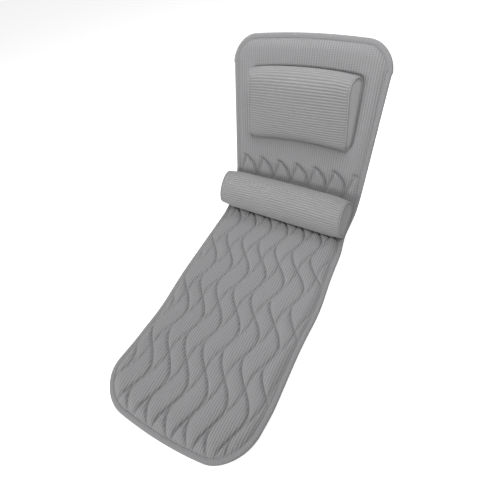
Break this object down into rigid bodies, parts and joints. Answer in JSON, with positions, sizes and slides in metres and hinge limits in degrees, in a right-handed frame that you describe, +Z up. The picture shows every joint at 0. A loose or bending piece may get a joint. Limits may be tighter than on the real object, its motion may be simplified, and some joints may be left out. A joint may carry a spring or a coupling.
{
  "type": "bath pillow",
  "caption": "Full-body bath pillow: quilted mesh mat that folds at the small of the back, with a wedge head pillow and a lumbar roll sewn on and suction cups beneath.",
  "frame": {"origin": "middle of the part's box in plan, on the plane of the seat cups' rims", "axes": "+Z up, +Y from the foot to the head, +X to the right of a person who looks at the front"},
  "size_m": [0.43, 0.9154, 0.4611],
  "materials": {
    "front_mesh": "grey waffle air mesh, quilted",
    "binding": "grey knit edge binding",
    "underside": "pale open mesh",
    "padding": "white fibre wadding",
    "cushion_mesh": "grey ribbed air mesh",
    "end_panel": "smooth grey knit",
    "piping": "grey covered cord",
    "core": "white foam",
    "cup": "clear soft vinyl"
  },
  "bodies": {
    "seat": {"seat_front_cover": "front_mesh", "seat_padding": "padding", "seat_underside": "underside", "seat_binding": "binding", "seat_cup_1": "cup", "seat_cup_2": "cup", "seat_cup_3": "cup", "seat_cup_4": "cup", "seat_cup_5": "cup", "seat_cup_6": "cup", "seat_cup_7": "cup", "seat_cup_8": "cup"},
    "back": {"back_front_cover": "front_mesh", "back_padding": "padding", "back_underside": "underside", "back_binding": "binding", "back_cup_1": "cup", "back_cup_2": "cup", "back_cup_3": "cup", "back_cup_4": "cup", "back_cup_5": "cup", "pillow_sleeve": "cushion_mesh", "pillow_core": "core", "pillow_gusset_left": "end_panel", "pillow_gusset_right": "end_panel", "pillow_piping_left": "piping", "pillow_piping_right": "piping", "roll_sleeve": "cushion_mesh", "roll_core": "core", "roll_end_left": "end_panel", "roll_end_right": "end_panel", "roll_piping_left": "piping", "roll_piping_right": "piping"}
  },
  "joints": [
    {"name": "back_fold", "type": "hinge", "parent": "seat", "child": "back", "pos_m": [0, 0.26519, 0.03787], "axis": [1, 0, 0], "range_deg": [-68.75, 0]}
  ]
}
